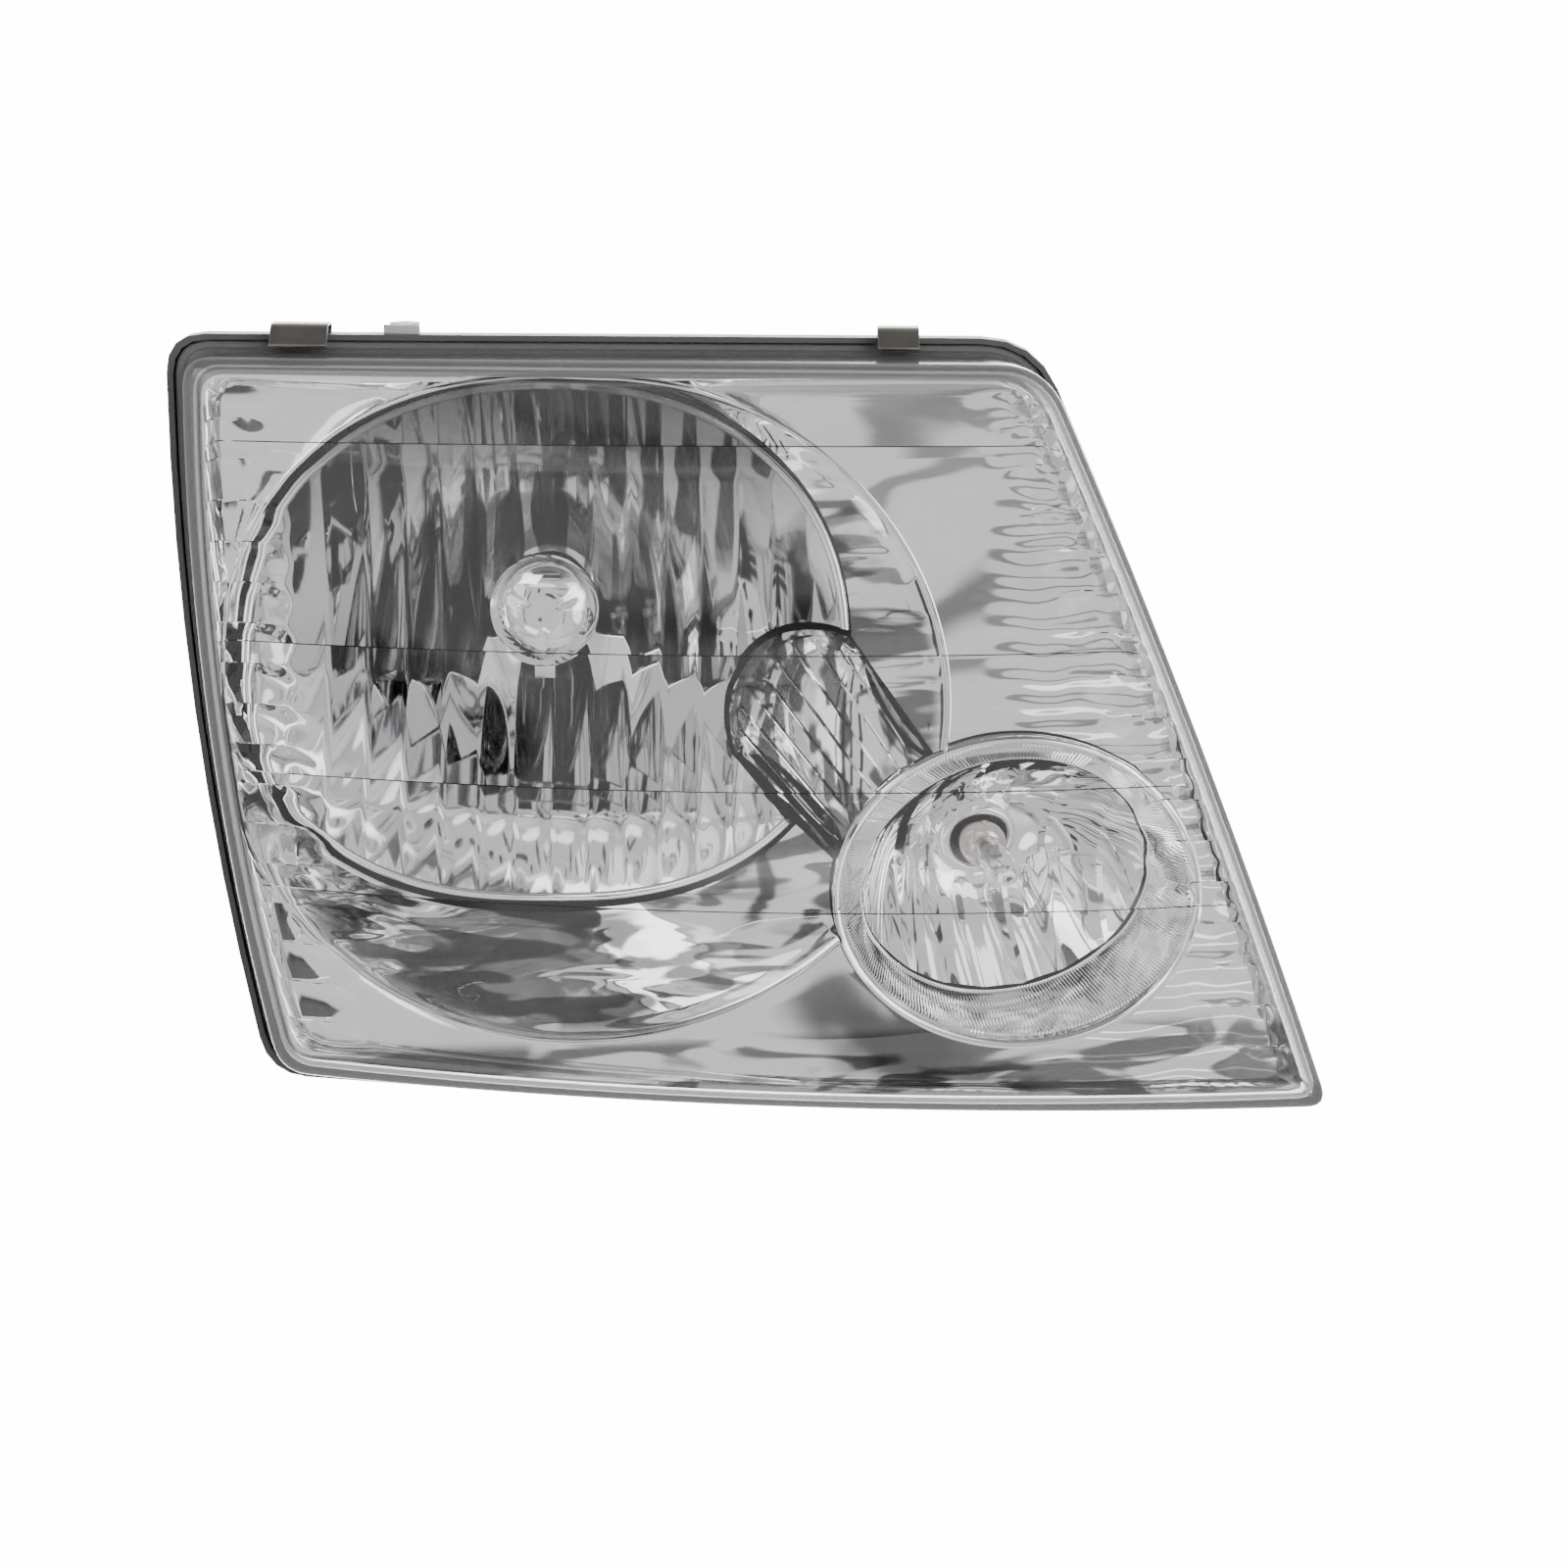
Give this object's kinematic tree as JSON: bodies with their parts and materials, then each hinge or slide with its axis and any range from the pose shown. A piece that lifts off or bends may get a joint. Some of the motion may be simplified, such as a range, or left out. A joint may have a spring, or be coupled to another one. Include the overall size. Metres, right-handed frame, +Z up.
{
  "type": "car headlight assembly",
  "caption": "Composite car headlamp with a stepped clear lens, aimable main reflector, shielded bulb and a ribbed signal lamp beside it.",
  "frame": {"origin": "on the rear face of the inner mounting pad, beside its screw hole", "axes": "+X outboard across the car, +Y rearward into the car, +Z up; the lens faces -Y"},
  "size_m": [0.3702, 0.1932, 0.2588],
  "materials": {
    "clear_lens": "clear hard-coated polycarbonate, polished",
    "metallised": "vacuum-metallised plastic, mirror bright",
    "chrome": "polished",
    "black_plastic": "moulded, satin",
    "grey_plastic": "moulded, satin",
    "white_nylon": "natural nylon, satin",
    "spring_steel": "rolled stainless strip, satin",
    "zinc_steel": "zinc plated, satin",
    "black_rubber": "moulded, matte",
    "orange_rubber": "moulded silicone, satin",
    "brass": "polished",
    "nickel_cap": "nickel plated, satin",
    "bulb_glass": "polished"
  },
  "bodies": {
    "housing": {"housing": "black_plastic", "lens": "clear_lens", "lens_seal": "black_rubber", "bezel": "metallised", "signal_shroud": "metallised", "signal_reflector": "metallised", "lens_clip_inner": "spring_steel", "lens_clip_outer": "spring_steel", "adjuster_case": "black_plastic", "adjuster_cover": "black_plastic", "adjuster_screw_lower": "zinc_steel", "adjuster_screw_upper": "zinc_steel", "pivot_stud_inner": "zinc_steel", "pivot_stud_outer": "zinc_steel", "rear_boot": "black_rubber", "vent_cap_upper": "black_rubber", "vent_cap_lower": "black_rubber"},
    "reflector": {"main_reflector": "metallised", "pivot_socket_inner": "white_nylon", "pivot_socket_outer": "white_nylon", "adjuster_socket": "white_nylon", "bulb_base": "grey_plastic", "bulb_glass": "bulb_glass", "bulb_seal": "orange_rubber", "bulb_shield": "chrome", "shield_bracket": "chrome", "bulb_terminal_1": "brass", "bulb_terminal_2": "brass", "bulb_terminal_3": "brass"},
    "bulb_ring": {"bulb_retaining_ring": "grey_plastic"},
    "stem": {"adjuster_stem": "zinc_steel"},
    "gear": {"driven_gear": "white_nylon"},
    "shaft": {"drive_shaft": "white_nylon"},
    "signal_holder": {"signal_socket": "grey_plastic", "signal_socket_seal": "orange_rubber", "signal_bulb_cap": "nickel_cap", "signal_bulb_glass": "bulb_glass", "signal_terminal_left": "brass", "signal_terminal_right": "brass"}
  },
  "joints": [
    {"name": "reflector_tilt", "type": "hinge", "parent": "housing", "child": "reflector", "pos_m": [0.063, -0.079, 0.048], "axis": [1, 0, 0], "range_deg": [-2.5, 2.5], "deforming": ["rear_boot"]},
    {"name": "adjuster_stem_slide", "type": "slide", "parent": "housing", "child": "stem", "axis": [0, 1, 0], "range_m": [-0.0048, 0.0048]},
    {"name": "driven_gear_turn", "type": "hinge", "parent": "housing", "child": "gear", "pos_m": [0.011, 0.0098, -0.06], "axis": [0, 1, 0], "range_deg": [-570, 570]},
    {"name": "drive_shaft_turn", "type": "hinge", "parent": "housing", "child": "shaft", "pos_m": [0.011, 0.0098, -0.06], "axis": [0, 0, 1], "range_deg": [-570, 570]},
    {"name": "bulb_ring_turn", "type": "hinge", "parent": "reflector", "child": "bulb_ring", "pos_m": [0.063, -0.011, 0.0097], "axis": [0, 1, 0], "range_deg": [0, 40]},
    {"name": "signal_socket_turn", "type": "hinge", "parent": "housing", "child": "signal_holder", "pos_m": [0.2021, -0.0772, -0.0678], "axis": [-0.2672, 0.9308, 0.2494], "range_deg": [0, 45]}
  ],
  "couplings": [
    {"joint": "adjuster_stem_slide", "follows": "reflector_tilt", "m_per_rad": 0.108},
    {"joint": "driven_gear_turn", "follows": "reflector_tilt", "ratio": 226.19},
    {"joint": "drive_shaft_turn", "follows": "reflector_tilt", "ratio": 226.19}
  ]
}
